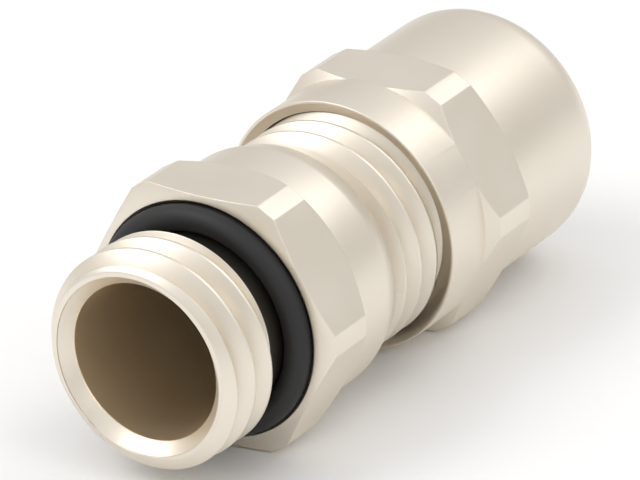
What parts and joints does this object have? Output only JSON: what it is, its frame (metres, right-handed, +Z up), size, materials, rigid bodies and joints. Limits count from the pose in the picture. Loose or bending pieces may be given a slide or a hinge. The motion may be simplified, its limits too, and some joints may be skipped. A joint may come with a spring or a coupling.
{
  "type": "cable gland",
  "caption": "Metal cable gland with a sealed connecting thread, hexagonal body, clamping insert and dome nut.",
  "frame": {"origin": "centre of the sealing face, the plane of the body's hexagon that meets the enclosure wall", "axes": "+Y along the gland from the connecting thread to the dome, +Z up through a flat of both hexagons, +X to the right"},
  "size_m": [0.0154, 0.0349, 0.0142],
  "materials": {
    "nickel_brass": "satin nickel plating on turned brass",
    "black_rubber": "smooth moulded rubber",
    "seal_elastomer": "matt moulded elastomer",
    "insert_plastic": "moulded polyamide",
    "ring_plastic": "moulded polyamide, natural"
  },
  "bodies": {
    "gland": {"gland_body": "nickel_brass", "connection_o_ring": "black_rubber", "cage_ring": "insert_plastic", "seal_insert": "seal_elastomer"},
    "thrust_ring": {"thrust_ring": "ring_plastic"},
    "dome_nut": {"dome_nut": "nickel_brass"},
    "clamp_finger_1": {"clamp_finger_1": "insert_plastic"},
    "clamp_finger_2": {"clamp_finger_2": "insert_plastic"},
    "clamp_finger_3": {"clamp_finger_3": "insert_plastic"},
    "clamp_finger_4": {"clamp_finger_4": "insert_plastic"},
    "clamp_finger_5": {"clamp_finger_5": "insert_plastic"},
    "clamp_finger_6": {"clamp_finger_6": "insert_plastic"},
    "clamp_finger_7": {"clamp_finger_7": "insert_plastic"},
    "clamp_finger_8": {"clamp_finger_8": "insert_plastic"}
  },
  "joints": [
    {"name": "nut_travel", "type": "slide", "parent": "gland", "child": "thrust_ring", "axis": [0, -1, 0], "range_m": [-0.0015, 0.0045]},
    {"name": "nut_turn", "type": "hinge", "parent": "thrust_ring", "child": "dome_nut", "pos_m": [0, 0.0215, 0], "axis": [0, -1, 0], "range_deg": [-360, 1080]},
    {"name": "finger_1_bend", "type": "hinge", "parent": "gland", "child": "clamp_finger_1", "pos_m": [0.0046, 0.019, 0], "axis": [0, 0, 1], "range_deg": [-4, 12]},
    {"name": "finger_2_bend", "type": "hinge", "parent": "gland", "child": "clamp_finger_2", "pos_m": [0.00325, 0.019, -0.00325], "axis": [0.7071, 0, 0.7071], "range_deg": [-4, 12]},
    {"name": "finger_3_bend", "type": "hinge", "parent": "gland", "child": "clamp_finger_3", "pos_m": [0, 0.019, -0.0046], "axis": [1, 0, 0], "range_deg": [-4, 12]},
    {"name": "finger_4_bend", "type": "hinge", "parent": "gland", "child": "clamp_finger_4", "pos_m": [-0.00325, 0.019, -0.00325], "axis": [0.7071, 0, -0.7071], "range_deg": [-4, 12]},
    {"name": "finger_5_bend", "type": "hinge", "parent": "gland", "child": "clamp_finger_5", "pos_m": [-0.0046, 0.019, 0], "axis": [0, 0, -1], "range_deg": [-4, 12]},
    {"name": "finger_6_bend", "type": "hinge", "parent": "gland", "child": "clamp_finger_6", "pos_m": [-0.00325, 0.019, 0.00325], "axis": [-0.7071, 0, -0.7071], "range_deg": [-4, 12]},
    {"name": "finger_7_bend", "type": "hinge", "parent": "gland", "child": "clamp_finger_7", "pos_m": [0, 0.019, 0.0046], "axis": [-1, 0, 0], "range_deg": [-4, 12]},
    {"name": "finger_8_bend", "type": "hinge", "parent": "gland", "child": "clamp_finger_8", "pos_m": [0.00325, 0.019, 0.00325], "axis": [-0.7071, 0, 0.7071], "range_deg": [-4, 12]}
  ],
  "couplings": [
    {"joint": "nut_travel", "follows": "nut_turn", "m_per_rad": 0.00023873},
    {"joint": "finger_1_bend", "follows": "nut_turn", "ratio": 0.011111},
    {"joint": "finger_2_bend", "follows": "nut_turn", "ratio": 0.011111},
    {"joint": "finger_3_bend", "follows": "nut_turn", "ratio": 0.011111},
    {"joint": "finger_4_bend", "follows": "nut_turn", "ratio": 0.011111},
    {"joint": "finger_5_bend", "follows": "nut_turn", "ratio": 0.011111},
    {"joint": "finger_6_bend", "follows": "nut_turn", "ratio": 0.011111},
    {"joint": "finger_7_bend", "follows": "nut_turn", "ratio": 0.011111},
    {"joint": "finger_8_bend", "follows": "nut_turn", "ratio": 0.011111}
  ]
}
